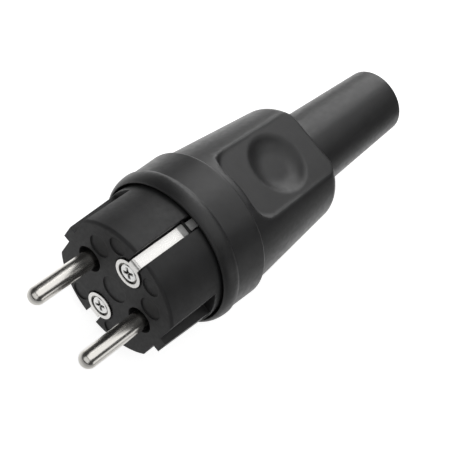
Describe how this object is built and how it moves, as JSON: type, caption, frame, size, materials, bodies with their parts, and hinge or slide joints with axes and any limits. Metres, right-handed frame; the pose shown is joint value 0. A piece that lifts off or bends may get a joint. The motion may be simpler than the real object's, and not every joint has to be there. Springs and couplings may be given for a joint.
{
  "type": "electrical plug",
  "caption": "Rubber-bodied earthed plug with round contact pins, side earth strips, a collar, a tapered grip with thumb flats and a cable sleeve, for wiring to a flexible cord.",
  "frame": {"origin": "centre of the engagement face, midway between the contact pins", "axes": "-Y out along the contact pins, +Y along the body to the cable end, X across the pins, +Z to the upper earth strip"},
  "size_m": [0.0424, 0.1248, 0.0424],
  "materials": {
    "rubber": "satin moulded rubber",
    "carrier_plastic": "fine moulded",
    "inner_plastic": "moulded",
    "pin_plate": "polished nickel plate",
    "strip_plate": "bright nickel plate",
    "front_screw": "bright zinc plate",
    "inner_screw": "zinc plate",
    "bridge_brass": "stamped"
  },
  "bodies": {
    "root": {"rubber_body": "rubber", "contact_carrier": "carrier_plastic", "rear_carrier": "inner_plastic", "pin_left": "pin_plate", "pin_right": "pin_plate", "pin_terminal_screws": "inner_screw", "earth_strip_upper": "strip_plate", "earth_strip_lower": "strip_plate", "front_screws": "front_screw", "earth_bridge": "bridge_brass", "earth_clamp_washer": "inner_screw", "earth_terminal_screw": "inner_screw", "cover_screws": "inner_screw", "cord_saddle": "inner_plastic", "clamp_screws": "inner_screw", "clamp_nuts": "inner_screw"}
  },
  "joints": []
}
